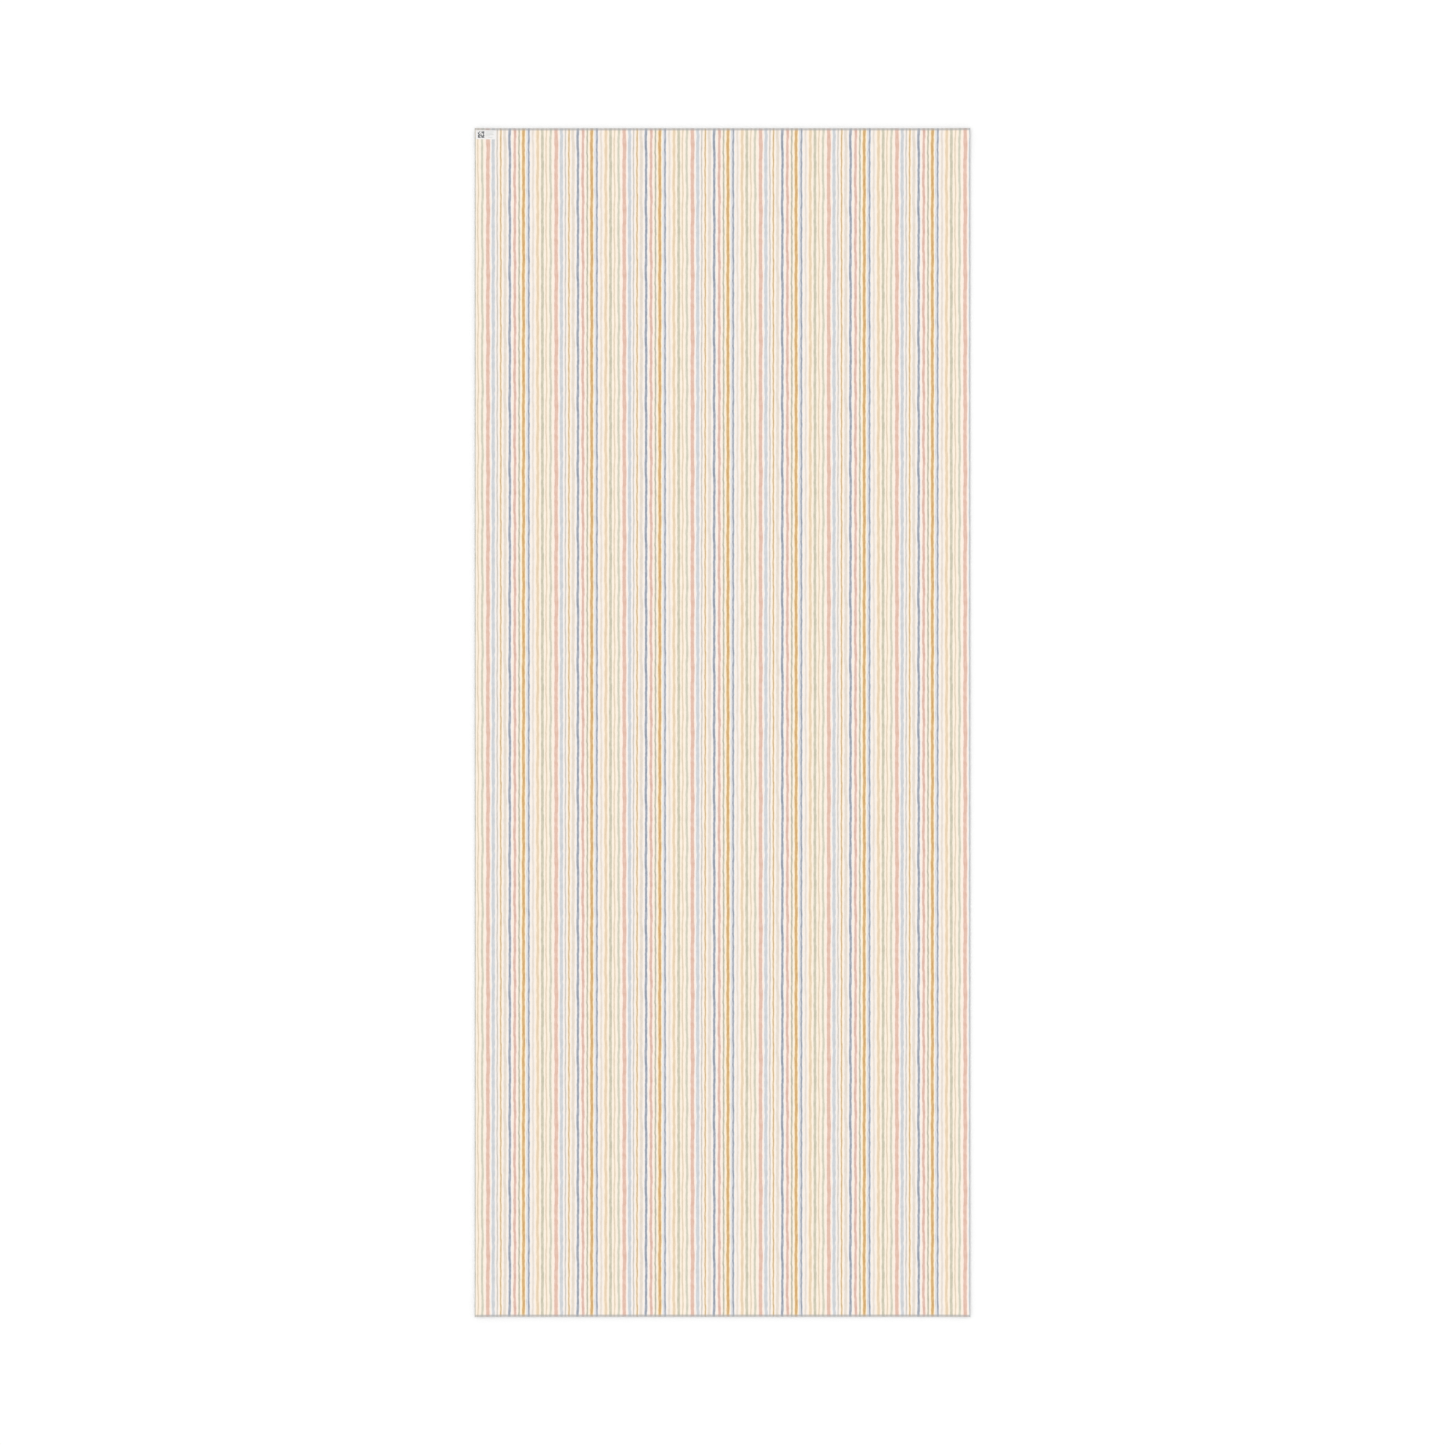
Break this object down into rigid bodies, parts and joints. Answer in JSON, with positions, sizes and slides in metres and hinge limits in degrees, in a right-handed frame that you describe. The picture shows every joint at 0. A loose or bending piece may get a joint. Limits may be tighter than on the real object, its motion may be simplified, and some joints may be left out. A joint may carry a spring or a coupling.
{
  "type": "wrapping paper sheet",
  "caption": "Rectangular sheet of gift-wrapping paper, unrolled flat with its striped printed side up and a small code label in one corner.",
  "frame": {"origin": "centre of the sheet's underside, where it rests on a table or floor", "axes": "+X across the width, +Y along the length towards the end with the code label, +Z out of the printed side"},
  "size_m": [0.762, 1.8288, 0.0002],
  "materials": {
    "printed_paper": "matte coated, printed with narrow hand-painted stripes along its length on a cream ground; blank white underside",
    "label_paper": "smooth white label paper with a small dark printed block"
  },
  "bodies": {
    "root": {"paper_sheet": "printed_paper", "code_label": "label_paper"}
  },
  "joints": []
}
